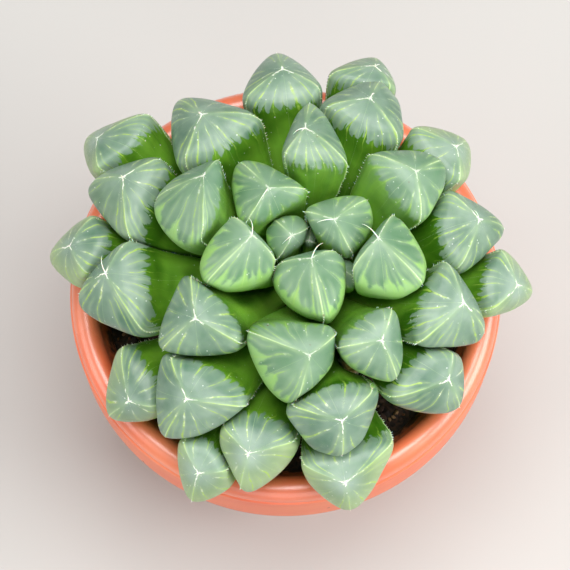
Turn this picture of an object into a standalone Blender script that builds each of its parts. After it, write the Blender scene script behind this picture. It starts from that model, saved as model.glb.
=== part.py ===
"""A window-leaved haworthia rosette growing in a small round plastic pot.

The pot stands on z = 0 with its axis on the Z axis. The rosette grows a little off the pot's middle, so its
own axis passes through CROWN. Every leaf is one solid that springs from the dome of a short stem, bends up
and ends in a blunt three-sided tip. Where neighbours would meet, each leaf is pressed back to the surface
half way between the two, as crowded leaves press on each other while they grow.
"""
import math
from collections import namedtuple

import bpy
import numpy as np

MM = 0.001

# ------------------------------------------------------------------ driving dimensions
FIT_GAP = 0.3 * MM            # left between pieces that touch

POT_HEIGHT = 60 * MM
POT_FOOT_RADIUS = 25.5 * MM
POT_WALL = 1.6 * MM
POT_FLOOR = 2.4 * MM
BAND_RADIUS = 37.5 * MM       # outside of the band that hangs from the rim
BAND_HEIGHT = 15 * MM
BAND_WALL = 1.5 * MM
BAND_POCKET = 3.4 * MM        # open gap between the band and the wall behind it
BAND_POCKET_TOP = 4.6 * MM    # the gap behind the band ends this far below the top of the rim
LIP_WIDTH = 4.6 * MM          # rounded top of the rim, measured along the radius
LIP_HEIGHT = 2.3 * MM
SEAM_DEPTH = 0.35 * MM        # fine groove where the lip meets the band
FOOT_RING_WIDTH = 3.0 * MM
FOOT_RECESS = 1.6 * MM
PAD_RADIUS = 8.0 * MM         # flat pad in the middle of the underside
DRAIN_HOLES = 6
DRAIN_RADIUS = 1.8 * MM
DRAIN_CIRCLE = 14.5 * MM
FOOT_NOTCHES = 3
FOOT_NOTCH_WIDTH = 3.0 * MM   # the notches let water out under the foot ring
EDGE_BREAK = 0.6 * MM         # small bevels and drafts on the pot

SOIL_DEPTH = 5.0 * MM         # soil surface below the top of the rim
SOIL_MOUND = 0.8 * MM         # how far the soil rises towards its middle

CROWN = (3.6 * MM, 0.7 * MM)  # where the rosette's own axis stands
STEM_RADIUS = 7.0 * MM
STEM_COLLAR = 2.6 * MM        # straight part between the soil and the dome
STEM_DOME = 9.0 * MM
ROOT_DEPTH = 16 * MM          # the root crown under the soil
ROOT_TIP_RADIUS = 2.4 * MM

LEAF_BASE_RADIUS = 1.45 * MM
RIM_CLEARANCE = 1.0 * MM      # between the crest of the rim and the leaves that lean over it
LEAF_TIP_HEIGHT = 0.50        # height of the blunt tip over half the leaf's mean width
FIRST_AZIMUTH = 148.0         # direction of the leaf of age 0, degrees from +X
GOLDEN_ANGLE = 137.5          # turn from each leaf to the next older one

# ------------------------------------------------------------------ the leaves
# One row a leaf, from the youngest. Age places it in the spiral and turn is its own deviation from the golden
# angle in degrees. Reach is the tip's distance from the rosette's axis and rise its height above the rim, in
# millimetres; lean is how far the tip tilts outwards, in degrees; width, across the leaf, and depth, from its
# inner face to its keel, are in millimetres; roll turns the keel anticlockwise, in degrees, and slant sets the
# point off the leaf's middle, towards its right side, in millimetres.
Leaf = namedtuple("Leaf", "age turn reach rise lean width depth roll slant", defaults=(0, 0))
LEAVES = [
    Leaf(-2, 210, 3.0, 17, 0, 4.5, 4.5),
    Leaf(-1, -36, 6.0, 19, -2, 8.0, 7.0),
    Leaf(0, -14, 3.6, 21, -4, 10.5, 9.0),
    Leaf(1, -1, 2.4, 25, -12, 15.0, 14.5, 0, 0.5),
    Leaf(2, -17, 6.3, 24, 6, 14.5, 12.5, 0, 1.0),
    Leaf(3, -27, 9.0, 27, -4, 14.5, 14.5, 50, -3.5),
    Leaf(4, 26, 11.5, 26, 2, 16.5, 14.5, -40, 3.5),
    Leaf(5, 8, 11.5, 25, 10, 14.5, 14.5, 0, -1.0),
    Leaf(6, 18, 18.5, 25, 20, 18.0, 16.5, 0, 2.5),
    Leaf(7, 5, 22.0, 24, 20, 16.0, 14.5),
    Leaf(8, -22, 20.5, 26, 20, 19.0, 14.0, 25, -4.5),
    Leaf(9, 1, 20.0, 25, 22, 14.0, 13.5, 0, 1.0),
    Leaf(10, 8, 20.0, 25, 26, 11.5, 18.5, 0, 1.2),
    Leaf(11, -6, 22.0, 25, 18, 17.0, 15.0),
    Leaf(12, -17, 27.0, 21, 34, 18.0, 16.0, 0, 2.0),
    Leaf(13, -9, 29.5, 21, 29, 17.5, 18.5, 0, -0.5),
    Leaf(14, 8, 29.0, 21, 28, 18.0, 15.5, 0, 1.0),
    Leaf(15, 18, 29.0, 20, 28, 18.0, 18.0),
    Leaf(16, -3, 33.5, 18, 30, 18.5, 16.0, 0, -2.0),
    Leaf(17, -7, 31.0, 16, 40, 18.0, 15.0, 0, 1.0),
    Leaf(18, -6, 33.5, 17, 32, 17.0, 17.0, 0, -0.5),
    Leaf(19, -9, 31.5, 20, 28, 20.0, 17.0),
    Leaf(20, -5, 29.5, 17, 38, 18.0, 18.0, 0, 0.5),
    Leaf(21, 1, 33.5, 19, 28, 18.0, 17.0, 0, -1.5),
    Leaf(22, 1, 18.5, 11, 34, 7.5, 6.5),
    Leaf(23, 1, 37.2, 13, 40, 15.0, 14.0, 0, -1.0),
    Leaf(24, 10, 37.5, 11, 38, 16.0, 14.0, 0, 1.5),
    Leaf(25, 9, 35.5, 12, 46, 15.0, 15.0, 0, -1.0),
    Leaf(27, -7, 34.0, 15, 30, 19.0, 16.0),
    Leaf(28, 0, 32.0, 16, 38, 17.5, 14.0, 0, -1.0),
    Leaf(29, 0, 40.0, 13, 42, 17.0, 17.0),
    Leaf(32, 15, 39.5, 11, 38, 15.0, 14.0, 0, -0.5),
    Leaf(34, 5, 42.0, 13, 48, 16.5, 17.0, 0, 0.5),
    Leaf(35, -1, 37.5, 12, 40, 18.0, 14.5, 0, -0.5),
]
OLDEST = LEAVES[-1].age
YOUNGEST = LEAVES[0].age

# ------------------------------------------------------------------ fineness of the solids
LEAF_COLUMNS = 15             # round a leaf; a multiple of three, so that each corner has a column
BODY_STATIONS = (0.0, 0.14, 0.32, 0.52, 0.74, 1.0)    # along the spine, base to shoulder
TIP_STATIONS = (0.30, 0.60, 0.84)                      # up the blunt tip, shoulder to point
KEEL_REACH = 0.72             # how far the blunted keel reaches, where a sharp one would reach 1
TIP_POWER = 1.65              # roundness of the tip's profile: 1 a cone, 2 a ball

POT_SEGMENTS = 48
SOIL_SEGMENTS = 40
STEM_SEGMENTS = 24
HOLE_SEGMENTS = 12
LIP_STEPS = 8
DOME_STEPS = 4

SPINE_SAMPLES = 25            # points along each spine that hold the neighbours off
PRESS_STEPS = 30              # trial radii along each ray when a leaf is pressed
PRESS_RANGE = (0.04, 1.3)     # the trial radii, as shares of the free radius
PRESS_FREE = 2.5              # limit of a ray that meets nothing
PRESS_HARDNESS = 8.0          # how sharply a leaf bends from its free shape to where it is pressed
ROOM_MARGIN = 0.75            # share of the fit gap kept on each side of the surface between two leaves
RIM_SLOPES = (0.7, 0.25)      # rise of the chute over the lip towards its crest, and beyond it
RIM_SLANT = 0.8               # distance from the chute over height above it


# ------------------------------------------------------------------ the pot's, soil's and stem's outlines
def soil_level():
    return POT_HEIGHT - SOIL_DEPTH


def floor_top():
    return FOOT_RECESS + POT_FLOOR


def neck_height():
    return POT_HEIGHT - BAND_HEIGHT


def wall_radius(z):
    """Outside radius of the pot's wall: a straight taper from the foot to the band, then upright behind it."""
    neck_radius = BAND_RADIUS - BAND_WALL - BAND_POCKET
    return POT_FOOT_RADIUS + (neck_radius - POT_FOOT_RADIUS) * min(1.0, z / neck_height())


def inner_radius(z):
    return wall_radius(z) - POT_WALL


def lip_radius():
    """Radius of the crest, the middle of the rounded lip."""
    return BAND_RADIUS - SEAM_DEPTH - LIP_WIDTH / 2


def pot_outline():
    """From the pad under the pot out and up the wall, round the band and the lip, and down inside to the floor."""
    neck = neck_height()
    pocket_top = POT_HEIGHT - BAND_POCKET_TOP
    lip_foot = POT_HEIGHT - LIP_HEIGHT
    foot_inside = POT_FOOT_RADIUS - FOOT_RING_WIDTH
    outline = [
        (0, 0), (PAD_RADIUS, 0), (PAD_RADIUS + EDGE_BREAK, FOOT_RECESS),
        (foot_inside - EDGE_BREAK, FOOT_RECESS), (foot_inside, 0), (POT_FOOT_RADIUS - EDGE_BREAK, 0),
        (wall_radius(EDGE_BREAK), EDGE_BREAK), (wall_radius(neck), neck), (wall_radius(neck), pocket_top),
        (BAND_RADIUS - BAND_WALL, pocket_top), (BAND_RADIUS - BAND_WALL, neck),
        (BAND_RADIUS - EDGE_BREAK, neck), (BAND_RADIUS, neck + EDGE_BREAK),
        (BAND_RADIUS, lip_foot - SEAM_DEPTH), (BAND_RADIUS - SEAM_DEPTH, lip_foot),
    ]
    for k in range(1, LIP_STEPS + 1):
        angle = math.pi * k / LIP_STEPS
        outline.append((lip_radius() + LIP_WIDTH / 2 * math.cos(angle), lip_foot + LIP_HEIGHT * math.sin(angle)))
    outline += [(inner_radius(soil_level()), soil_level()), (inner_radius(neck), neck),
                (inner_radius(floor_top()), floor_top()), (0, floor_top())]
    return outline


def soil_outline():
    """The pot's inside, a fit gap smaller, with a low mound on top."""
    low = floor_top() + FIT_GAP
    neck = neck_height()
    edge = inner_radius(soil_level()) - FIT_GAP
    outline = [(0, low), (inner_radius(low) - FIT_GAP, low), (inner_radius(neck) - FIT_GAP, neck),
               (edge, soil_level())]
    for share in (0.75, 0.4):
        outline.append((edge * share, soil_level() + SOIL_MOUND * (1 - share ** 2)))
    outline.append((0, soil_level() + SOIL_MOUND))
    return outline


def stem_outline(margin=0.0):
    """Root crown, collar and dome, thickened by a margin all round."""
    level = soil_level()
    top = level + STEM_COLLAR
    outline = [(0, level - ROOT_DEPTH - margin), (ROOT_TIP_RADIUS + margin, level - ROOT_DEPTH - margin),
               (0.5 * (ROOT_TIP_RADIUS + STEM_RADIUS) + margin, level - 0.55 * ROOT_DEPTH),
               (STEM_RADIUS + margin, level - 0.15 * ROOT_DEPTH), (STEM_RADIUS + margin, top)]
    for k in range(1, DOME_STEPS):
        angle = math.pi / 2 * k / DOME_STEPS
        outline.append(((STEM_RADIUS + margin) * math.cos(angle), top + (STEM_DOME + margin) * math.sin(angle)))
    outline.append((0, top + STEM_DOME + margin))
    return outline


# ------------------------------------------------------------------ leaf geometry
def leaf_azimuth(leaf):
    return math.radians(FIRST_AZIMUTH + GOLDEN_ANGLE * leaf.age + leaf.turn)


def column_angles():
    """Directions of the net's columns round a leaf, from the leaf's right side towards its inner face.

    Equal steps pulled towards the three corners at 30, 150 and 270 degrees by a sine of three periods.
    """
    step = np.radians(30 + 360 * np.arange(LEAF_COLUMNS) / LEAF_COLUMNS)
    return step - 0.2 * np.sin(3 * (step - math.radians(30)))


def section_radius(angles, sharpness):
    """Rounded triangle of unit reach at its margins: the inner face looks to 90 degrees, the keel is at 270.

    A soft maximum of the distances to the three sides and to a short fourth one that blunts the keel, with
    sharpness as its power.
    """
    def reach(directions):
        sides = np.radians([90, 210, 330, 270])
        closeness = np.array([1, 1, 1, 0.5 / KEEL_REACH])
        facing = np.clip(np.cos(directions[:, None] - sides[None, :]), 0, None) * closeness
        return 1 / (facing ** sharpness).sum(axis=1) ** (1 / sharpness)
    return reach(angles) / reach(np.radians([30.0]))


def base_place(leaf):
    """Where a leaf leaves the stem's dome, and the dome's outward direction there; equal dome area for each age."""
    share = (leaf.age - YOUNGEST + 0.5) / (OLDEST - YOUNGEST + 1)
    rise = 1 - 0.97 * share
    out = math.sqrt(1 - rise ** 2)
    azimuth = leaf_azimuth(leaf)
    outward = np.array([math.cos(azimuth), math.sin(azimuth), 0])
    up = np.array([0, 0, 1.0])
    foot = np.array([*CROWN, soil_level() + STEM_COLLAR])
    place = foot + STEM_RADIUS * out * outward + STEM_DOME * rise * up
    normal = out / STEM_RADIUS * outward + rise / STEM_DOME * up
    return place, normal / np.linalg.norm(normal)


def leaf_frame(leaf):
    """Tip, outward-leaning axis, sideways and inward directions of a leaf at its shoulder, before its roll."""
    azimuth = leaf_azimuth(leaf)
    lean = math.radians(leaf.lean)
    outward = np.array([math.cos(azimuth), math.sin(azimuth), 0])
    axis = math.sin(lean) * outward + math.cos(lean) * np.array([0, 0, 1.0])
    side = np.array([-math.sin(azimuth), math.cos(azimuth), 0])
    tip = np.array([*CROWN, POT_HEIGHT]) + leaf.reach * MM * outward + leaf.rise * MM * np.array([0, 0, 1.0])
    return tip, axis, side


def turned(side, inward, angle):
    """A pair of crosswise directions turned about the leaf's axis."""
    return (math.cos(angle) * side + math.sin(angle) * inward,
            math.cos(angle) * inward - math.sin(angle) * side)


def leaf_spine(leaf, stations):
    """Points and tangents of the cubic curve from the stem to the leaf's shoulder."""
    place, normal = base_place(leaf)
    tip, axis, side = leaf_frame(leaf)
    start = place + 1.5 * FIT_GAP * normal
    end = tip - tip_height(leaf) * axis - tip_offset(leaf)
    chord = np.linalg.norm(end - start)
    handles = (start, start + 0.34 * chord * normal, end - 0.38 * chord * axis, end)
    u = np.asarray(stations, float)[:, None]
    weights = ((1 - u) ** 3, 3 * u * (1 - u) ** 2, 3 * u ** 2 * (1 - u), u ** 3)
    points = sum(w * h for w, h in zip(weights, handles))
    slopes = (3 * (1 - u) ** 2 * (handles[1] - handles[0]) + 6 * u * (1 - u) * (handles[2] - handles[1])
              + 3 * u ** 2 * (handles[3] - handles[2]))
    return points, slopes / np.linalg.norm(slopes, axis=1, keepdims=True)


def mean_radius(leaf):
    return 0.25 * (leaf.width + leaf.depth) * MM


def tip_height(leaf):
    return LEAF_TIP_HEIGHT * mean_radius(leaf)


def tip_offset(leaf):
    """Where the point sits from the middle of the tip: towards the inner face on the upright young leaves, with
    little of that on leaning ones, and sideways by the leaf's own slant."""
    tip, axis, side = leaf_frame(leaf)
    inward = np.cross(axis, side)
    share = 0.30 * max(0.0, 1 - leaf.lean / 35)
    return share * leaf.depth / 2 * MM * inward + leaf.slant * MM * side


def body_swell(stations):
    """Share of the full section along the spine: narrow at the stem, near full from the middle up."""
    return np.sin(0.5 * math.pi * np.clip(stations, 0, 1) ** 1.1)


def leaf_rings(leaf):
    """Centres, crosswise directions, half width, half depth and corner sharpness of each ring, base to tip."""
    stations = np.array(BODY_STATIONS)
    points, tangents = leaf_spine(leaf, stations)
    tip, axis, side = leaf_frame(leaf)
    rings = []
    for u, point, tangent, swell in zip(stations, points, tangents, body_swell(stations)):
        across, inward = turned(side, np.cross(tangent, side), math.radians(leaf.roll) * u * u * (3 - 2 * u))
        half_width = LEAF_BASE_RADIUS + (leaf.width / 2 * MM - LEAF_BASE_RADIUS) * swell
        half_depth = LEAF_BASE_RADIUS + (leaf.depth / 2 * MM - LEAF_BASE_RADIUS) * swell
        rings.append((point, across, inward, half_width, half_depth, 2.4 + 2.1 * u))
    across, inward = turned(side, np.cross(axis, side), math.radians(leaf.roll))
    for q in TIP_STATIONS:
        share = (1 - q ** TIP_POWER) ** (1 / TIP_POWER)
        point = points[-1] + q * tip_height(leaf) * axis + (1 - share) * tip_offset(leaf)
        rings.append((point, across, inward, share * leaf.width / 2 * MM, share * leaf.depth / 2 * MM, 4.5))
    return rings


def hold_off_points(leaf):
    """Spine samples that keep the neighbours away, each with the leaf's mean radius there."""
    stations = np.linspace(0, 1, SPINE_SAMPLES)
    points, _ = leaf_spine(leaf, stations)
    sizes = LEAF_BASE_RADIUS + (mean_radius(leaf) - LEAF_BASE_RADIUS) * body_swell(stations)
    _, axis, _ = leaf_frame(leaf)
    caps = []
    cap_sizes = []
    for q in (0.35, 0.7):
        share = (1 - q ** TIP_POWER) ** (1 / TIP_POWER)
        caps.append(points[-1] + q * tip_height(leaf) * axis + (1 - share) * tip_offset(leaf))
        cap_sizes.append(share * mean_radius(leaf))
    return np.vstack([points, caps]), np.concatenate([sizes, cap_sizes])


def room(points, own, holders):
    """How far each point is inside the leaf's own room, in metres; negative where it is outside.

    A neighbour's room is where the distance to its spine, over its size, is the smaller. The soil, the stem
    and a chute that rises over the lip of the pot are walls.
    """
    nearness = []
    sizes = []
    for spine, radii in holders:
        gaps = np.linalg.norm(points[:, None, :] - spine[None, :, :], axis=2) / radii
        nearest = gaps.argmin(axis=1)
        nearness.append(gaps[np.arange(len(points)), nearest])
        sizes.append(radii[nearest])
    nearness = np.array(nearness)
    sizes = np.array(sizes)
    slack = (nearness - nearness[own]) / (1 / sizes + 1 / sizes[own])
    slack[own] = np.inf
    inside = slack.min(axis=0) - ROOM_MARGIN * FIT_GAP
    above_soil = points[:, 2] - (soil_level() + SOIL_MOUND) - FIT_GAP
    radius = np.hypot(points[:, 0], points[:, 1])
    past_crest = radius - lip_radius()
    over_rim = points[:, 2] - (POT_HEIGHT + RIM_CLEARANCE + past_crest * np.where(past_crest < 0, *RIM_SLOPES))
    stem = np.hypot(np.hypot(points[:, 0] - CROWN[0], points[:, 1] - CROWN[1]) / STEM_RADIUS,
                    np.clip(points[:, 2] - soil_level() - STEM_COLLAR, 0, None) / STEM_DOME)
    off_stem = (stem - 1) * STEM_RADIUS - FIT_GAP
    return np.minimum.reduce([inside, above_soil, RIM_SLANT * over_rim, off_stem])


def pressed_leaf(index, holders):
    """The net of one leaf as rings of points, base to tip, with its two end points.

    Each point lies on its ray from the ring's centre at a soft minimum of its free radius and the largest
    radius at which it is still in the leaf's own room.
    """
    leaf = LEAVES[index]
    angles = column_angles()
    rings = leaf_rings(leaf)
    starts = []
    rays = []
    for point, across, inward, half_width, half_depth, sharpness in rings:
        radius = section_radius(angles, sharpness)[:, None]
        starts.append(np.repeat(point[None, :], LEAF_COLUMNS, axis=0))
        rays.append(radius * (np.cos(angles)[:, None] / math.cos(math.radians(30)) * half_width * across
                              + np.sin(angles)[:, None] / 0.75 * half_depth * inward))
    starts = np.concatenate(starts)
    rays = np.concatenate(rays)
    shares = np.linspace(*PRESS_RANGE, PRESS_STEPS)
    trials = starts[:, None, :] + shares[None, :, None] * rays[:, None, :]
    inside = room(trials.reshape(-1, 3), index, holders).reshape(len(starts), PRESS_STEPS)
    limit = np.full(len(starts), PRESS_FREE)
    for k in range(PRESS_STEPS - 1, 0, -1):
        out = inside[:, k] < 0
        cross = shares[k - 1] + (shares[k] - shares[k - 1]) * np.clip(
            inside[:, k - 1] / (inside[:, k - 1] - inside[:, k] + 1e-12), 0, 1)
        limit = np.where(out, cross, limit)
    limit = np.where(inside[:, 0] < 0, shares[0], limit)
    share = (1 + limit ** -PRESS_HARDNESS) ** (-1 / PRESS_HARDNESS)
    net = starts + share[:, None] * rays
    net = net.reshape(len(rings), LEAF_COLUMNS, 3)
    tip, _, _ = leaf_frame(leaf)
    _, normal = base_place(leaf)
    foot = net[0].mean(axis=0) - 0.5 * FIT_GAP * normal
    return net, foot, tip


# ------------------------------------------------------------------ meshes and materials
def colour(hex_text):
    """Linear colour of an sRGB hex value."""
    values = [int(hex_text[i:i + 2], 16) / 255 for i in (0, 2, 4)]
    linear = [v / 12.92 if v <= 0.04045 else ((v + 0.055) / 1.055) ** 2.4 for v in values]
    return (*linear, 1.0)


def finish(name, hex_text, roughness):
    material = bpy.data.materials.new(name)
    material.use_nodes = True
    shader = material.node_tree.nodes["Principled BSDF"]
    shader.inputs["Base Color"].default_value = colour(hex_text)
    shader.inputs["Roughness"].default_value = roughness
    shader.inputs["Metallic"].default_value = 0.0
    return material


def add_object(name, points, faces, material, origin=(0, 0, 0), parent=None, crease=40):
    """An object from world points, with its origin at a named place and under a parent."""
    origin = np.array(origin, float)
    mesh = bpy.data.meshes.new(name)
    mesh.from_pydata([tuple(p) for p in np.array(points, float) - origin], [], faces)
    if material:
        mesh.materials.append(material)
    mesh.shade_smooth()
    mesh.set_sharp_from_angle(angle=math.radians(crease))
    piece = bpy.data.objects.new(name, mesh)
    bpy.context.scene.collection.objects.link(piece)
    piece.parent = parent
    piece.location = origin - (np.array(parent.location) if parent else 0)
    return piece


def turned_shape(outline, segments, centre=(0.0, 0.0)):
    """Points and faces of a solid of revolution; its outline of (radius, height) starts and ends on the axis."""
    points = []
    rows = []
    for radius, z in outline:
        steps = segments if radius > 0 else 1
        first = len(points)
        for k in range(steps):
            angle = 2 * math.pi * k / segments
            points.append((centre[0] + radius * math.cos(angle), centre[1] + radius * math.sin(angle), z))
        rows.append([first + k % steps for k in range(segments)])
    faces = []
    for low, high in zip(rows, rows[1:]):
        for k in range(segments):
            n = (k + 1) % segments
            faces.append(tuple(dict.fromkeys((low[k], low[n], high[n], high[k]))))
    return points, faces


def leaf_faces(rings):
    """Triangles of a leaf's net: its rings of columns from the foot up, then a point at the foot and one at the tip."""
    faces = []
    for i in range(rings - 1):
        for j in range(LEAF_COLUMNS):
            k = (j + 1) % LEAF_COLUMNS
            a, b = i * LEAF_COLUMNS + j, i * LEAF_COLUMNS + k
            faces += [(a, b, b + LEAF_COLUMNS), (a, b + LEAF_COLUMNS, a + LEAF_COLUMNS)]
    foot, tip, last = rings * LEAF_COLUMNS, rings * LEAF_COLUMNS + 1, (rings - 1) * LEAF_COLUMNS
    for j in range(LEAF_COLUMNS):
        k = (j + 1) % LEAF_COLUMNS
        faces += [(foot, k, j), (tip, last + j, last + k)]
    return faces


def cut(piece, cutter):
    """A Boolean cut by an object that is only a tool."""
    cutter.hide_render = True
    cutter.display_type = "WIRE"
    modifier = piece.modifiers.new("cut_" + cutter.name, "BOOLEAN")
    modifier.operation = "DIFFERENCE"
    modifier.solver = "EXACT"
    modifier.object = cutter


# ------------------------------------------------------------------ the pieces
def drain_tool():
    """Pegs for the drain holes, and blocks for the notches in the foot ring, all in one cutting tool."""
    points = []
    faces = []

    def add(shape_points, shape_faces):
        first = len(points)
        points.extend(shape_points)
        faces.extend(tuple(first + v for v in face) for face in shape_faces)

    for k in range(DRAIN_HOLES):
        angle = 2 * math.pi * (k + 0.5) / DRAIN_HOLES
        centre = (DRAIN_CIRCLE * math.cos(angle), DRAIN_CIRCLE * math.sin(angle))
        peg = [(0, 0), (DRAIN_RADIUS, 0), (DRAIN_RADIUS, floor_top() + FOOT_RECESS), (0, floor_top() + FOOT_RECESS)]
        add(*turned_shape(peg, HOLE_SEGMENTS, centre))
    for k in range(FOOT_NOTCHES):
        angle = 2 * math.pi * k / FOOT_NOTCHES + 0.2
        out = np.array([math.cos(angle), math.sin(angle), 0])
        across = np.array([-math.sin(angle), math.cos(angle), 0]) * FOOT_NOTCH_WIDTH / 2
        middle = POT_FOOT_RADIUS - FOOT_RING_WIDTH / 2
        corners = [(middle + reach * FOOT_RING_WIDTH) * out + turn * across + np.array([0, 0, z])
                   for z in (-FOOT_RECESS, 0.8 * FOOT_RECESS) for reach, turn in ((-1, -1), (1, -1), (1, 1), (-1, 1))]
        add(corners, [(0, 3, 2, 1), (4, 5, 6, 7), (0, 1, 5, 4), (1, 2, 6, 5), (2, 3, 7, 6), (3, 0, 4, 7)])
    return add_object("drain_tool", points, faces, None)


def make_pot():
    """Thin-walled pot with a hanging band, a rounded lip, a foot ring and drain holes."""
    pot = add_object("pot", *turned_shape(pot_outline(), POT_SEGMENTS),
                     finish("moulded terracotta-coloured plastic", "D9744F", 0.28))
    cut(pot, drain_tool())


def make_soil():
    """The block of potting mix, with the room that the root crown takes up."""
    soil = add_object("soil", *turned_shape(soil_outline(), SOIL_SEGMENTS), finish("potting mix", "2E211A", 0.95))
    room_tool = add_object("root_room_tool", *turned_shape(stem_outline(FIT_GAP), STEM_SEGMENTS, CROWN), None)
    cut(soil, room_tool)


def make_stem(rosette):
    """The short stem that all leaves spring from, with its root crown."""
    add_object("stem", *turned_shape(stem_outline(), STEM_SEGMENTS, CROWN),
               finish("stem", "A9A06A", 0.8), (*CROWN, soil_level()), rosette)


def make_leaves(rosette):
    """All leaves, youngest first, each pressed into its own room."""
    material = finish("leaf flesh", "6E9E5A", 0.35)
    holders = [hold_off_points(leaf) for leaf in LEAVES]
    for index in range(len(LEAVES)):
        net, foot, tip = pressed_leaf(index, holders)
        points = np.vstack([net.reshape(-1, 3), foot, tip])
        add_object(f"leaf_{index + 1:02d}", points, leaf_faces(len(net)), material, foot, rosette)


def main():
    for thing in list(bpy.data.objects):
        bpy.data.objects.remove(thing)
    rosette = bpy.data.objects.new("rosette", None)
    rosette.location = (*CROWN, soil_level())
    bpy.context.scene.collection.objects.link(rosette)
    make_pot()
    make_soil()
    make_stem(rosette)
    make_leaves(rosette)


if __name__ == "__main__":
    main()
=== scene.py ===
"""A window-leaved haworthia rosette in a small glossy plastic pot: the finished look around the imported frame.

Every leaf is a fine skin drawn through the net of points of its frame node, so it keeps the node's shape. The
pot is turned again with fine steps on the frame's own measures, the potting mix gets lumps and crumbs, and the
awns and marginal teeth that are too fine for the frame are pieces of their own. Lengths are in metres unless a
name says mm.
"""
import functools
import math

import bpy
import numpy as np
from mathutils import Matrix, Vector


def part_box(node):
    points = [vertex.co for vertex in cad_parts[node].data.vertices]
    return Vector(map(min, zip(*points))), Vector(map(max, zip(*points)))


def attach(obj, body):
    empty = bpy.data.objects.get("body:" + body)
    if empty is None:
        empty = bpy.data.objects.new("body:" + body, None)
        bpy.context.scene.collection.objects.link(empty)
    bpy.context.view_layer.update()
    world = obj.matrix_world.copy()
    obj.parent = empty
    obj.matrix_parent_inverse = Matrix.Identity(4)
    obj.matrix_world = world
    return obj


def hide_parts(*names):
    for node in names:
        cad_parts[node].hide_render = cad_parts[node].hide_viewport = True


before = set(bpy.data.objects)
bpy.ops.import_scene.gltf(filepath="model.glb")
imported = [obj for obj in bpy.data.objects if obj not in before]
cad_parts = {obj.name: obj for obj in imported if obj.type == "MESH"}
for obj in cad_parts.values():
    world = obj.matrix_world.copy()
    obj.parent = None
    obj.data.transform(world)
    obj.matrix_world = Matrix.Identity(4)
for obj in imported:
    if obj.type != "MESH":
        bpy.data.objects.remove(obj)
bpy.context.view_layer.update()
MM = 0.001
LEAVES = sorted(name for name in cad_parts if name.startswith("leaf_"))


# ------------------------------------------------------------------ meshes
def smooth(low, high, values):
    """Smooth step: 0 below low, 1 above high, and 3t² - 2t³ between."""
    share = np.clip((values - low) / (high - low), 0, 1)
    return share * share * (3 - 2 * share)


def tube_faces(rows, columns, first=0):
    """Quads of a grid that closes round. Rows run down and columns anticlockwise seen from above, so they face
    out."""
    i, j = np.meshgrid(np.arange(rows - 1), np.arange(columns), indexing="ij")
    k = (j + 1) % columns
    quads = np.stack([i * columns + j, (i + 1) * columns + j, (i + 1) * columns + k, i * columns + k], axis=-1)
    return quads.reshape(-1, 4) + first


def fan_faces(columns, ring, pole, up):
    """Triangles between a ring of points and a pole, facing up or down."""
    j = np.arange(columns)
    k = (j + 1) % columns
    near, far = (j, k) if up else (k, j)
    return np.stack([np.full(columns, pole), ring + near, ring + far], axis=-1)


def new_object(name, data):
    """An object with this data, in the scene."""
    thing = bpy.data.objects.new(name, data)
    bpy.context.scene.collection.objects.link(thing)
    return thing


def new_mesh(name, points, blocks):
    """A mesh of points and of blocks of faces, where a block's faces have equally many corners."""
    mesh = bpy.data.meshes.new(name)
    mesh.from_pydata(np.asarray(points).tolist(), [], [face for block in blocks for face in block.tolist()])
    return mesh


def add_piece(name, points, blocks, material, slot, replaces=(), smooth_angle=None):
    """A piece at the origin that rides on the one body, takes the given material and may replace nodes; its slot is
    not used.
    """
    mesh = new_mesh(name, points, blocks)
    mesh.materials.append(material)
    mesh.shade_smooth()
    if smooth_angle:
        mesh.set_sharp_from_angle(angle=math.radians(smooth_angle))
    piece = new_object(name, mesh)
    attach(piece, "root")
    if replaces:
        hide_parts(*replaces)
    return piece


# ------------------------------------------------------------------ materials
# A pattern's scale is in cells to the metre: 0.2 / MM is 0.2 cells to the millimetre, so a cell is 5 mm wide.
# Noise mostly lies between 0.3 and 0.7, which is why those two numbers often bound its stretch.
def colour(hex_text):
    """Linear colour of an sRGB hex value."""
    values = [int(hex_text[i:i + 2], 16) / 255 for i in (0, 2, 4)]
    return (*(v / 12.92 if v <= 0.04045 else ((v + 0.055) / 1.055) ** 2.4 for v in values), 1.0)


def give(tree, socket, value):
    """Link a value that is another node's socket, and set any other value."""
    if isinstance(value, bpy.types.NodeSocket):
        tree.links.new(value, socket)
    else:
        socket.default_value = value


MODES = {"Math": "operation", "VectorMath": "operation", "Mix": "data_type", "MapRange": "interpolation_type",
         "TexWhiteNoise": "noise_dimensions"}


def add(tree, kind, *values, **settings):
    """A node, given as its main output. Its kind may be followed by its mode, and its values go to its inputs in
    their order.

    A setting whose name starts with a capital goes to the input of that name, with underscores for its spaces,
    and any other setting to the node itself.
    """
    kind, *mode = kind.split()
    node = tree.nodes.new("ShaderNode" + kind)
    if mode:
        setattr(node, MODES[kind], mode[0])
    for name, value in settings.items():
        if name.islower():
            setattr(node, name, value)
    inputs = [socket for socket in node.inputs if socket.enabled]
    for socket, value in zip(inputs, values):
        give(tree, socket, value)
    for name, value in settings.items():
        if not name.islower():
            give(tree, next(socket for socket in inputs if socket.name == name.replace("_", " ")), value)
    return next(socket for socket in node.outputs if socket.enabled)


def new_material(name):
    """A material and the function that adds nodes to it."""
    material = bpy.data.materials.new(name)
    material.use_nodes = True
    return material, functools.partial(add, material.node_tree)


def shade(material, **values):
    """The material, with these values and links on its shader; underscores in their names stand for spaces."""
    tree = material.node_tree
    for name, value in values.items():
        give(tree, tree.nodes["Principled BSDF"].inputs[name.replace("_", " ")], value)
    return material


# ------------------------------------------------------------------ reading a leaf's net
COLUMNS = 15                  # round the net; columns 0, 5 and 10 are the two margins and the keel
SHOULDER_RING = 3             # counted from the point, the ring where the tip meets the body
SHOULDER_CREASE = 0.7         # how sharply the skin turns there, from 0 for a smooth curve to 1 for a full crease


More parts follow.
